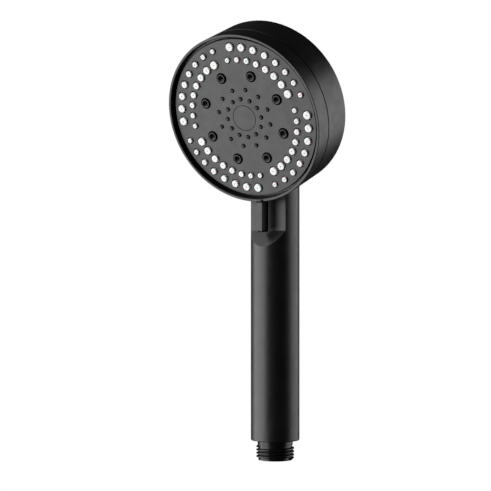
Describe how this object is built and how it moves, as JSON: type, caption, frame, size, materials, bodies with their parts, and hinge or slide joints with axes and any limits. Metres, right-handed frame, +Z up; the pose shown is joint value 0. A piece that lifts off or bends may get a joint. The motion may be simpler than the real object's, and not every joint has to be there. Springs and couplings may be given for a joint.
{
  "type": "handheld shower head",
  "caption": "Round tilted handheld shower head with a straight cylindrical handle, a lever that turns the spray face, and a male hose thread.",
  "frame": {"origin": "on the handle's axis, at the lower end of the threaded inlet", "axes": "+Z up along the handle, -Y the way the spray face looks (tilted 21 degrees down), +X to the right as seen from the front"},
  "size_m": [0.094, 0.0639, 0.241],
  "materials": {
    "black_housing": "satin black moulded ABS",
    "black_face": "fine matt black moulded ABS",
    "black_rubber": "matt black rubber",
    "white_silicone": "soft white silicone",
    "black_inlet": "glossy black plastic",
    "steel": "stainless steel",
    "brass": "turned brass",
    "blue_plastic": "moulded acetal",
    "grey_plastic": "moulded ABS",
    "white_plastic": "moulded acetal"
  },
  "bodies": {
    "handle": {"body_shell": "black_housing", "inlet_connector": "black_inlet", "inlet_seal": "black_rubber", "filter_screen": "steel", "flow_regulator": "blue_plastic", "water_tube": "grey_plastic", "tube_seals": "black_rubber", "valve_body": "grey_plastic", "valve_body_screws": "steel", "port_spring": "steel", "detent_spring": "steel", "thrust_washer": "white_plastic", "pivot_washer": "steel", "pivot_screw": "steel"},
    "face": {"bezel_ring": "black_housing", "face_plate": "black_face", "nozzle_mat": "white_silicone", "jet_insert": "black_rubber", "mist_nozzles": "black_face", "mist_swirlers": "white_plastic", "chamber_plate": "grey_plastic", "channel_gasket": "black_rubber", "diverter_disc": "white_plastic", "stack_screws": "steel", "centre_cap": "black_face"},
    "turbine": {"massage_turbine": "white_plastic"},
    "port_seal_cup": {"port_seal": "black_rubber"},
    "detent": {"detent_pin": "brass"}
  },
  "joints": [
    {"name": "mode_select", "type": "hinge", "parent": "handle", "child": "face", "pos_m": [0, -0.0314, 0.1873], "axis": [0, 0.9336, 0.3584], "range_deg": [-40, 40]},
    {"name": "turbine_spin", "type": "hinge", "parent": "face", "child": "turbine", "pos_m": [0, -0.0314, 0.1873], "axis": [0, 0.9336, 0.3584], "continuous": true},
    {"name": "port_seal_float", "type": "slide", "parent": "handle", "child": "port_seal_cup", "axis": [0, 0.9336, 0.3584], "range_m": [0, 0.0005], "stiffness_N_per_m": 500, "springref_m": -0.002, "deforming": ["port_spring"]},
    {"name": "detent_click", "type": "slide", "parent": "handle", "child": "detent", "axis": [0, 0.9336, 0.3584], "range_m": [0, 0.0007], "stiffness_N_per_m": 400, "springref_m": -0.003, "deforming": ["detent_spring"]}
  ]
}
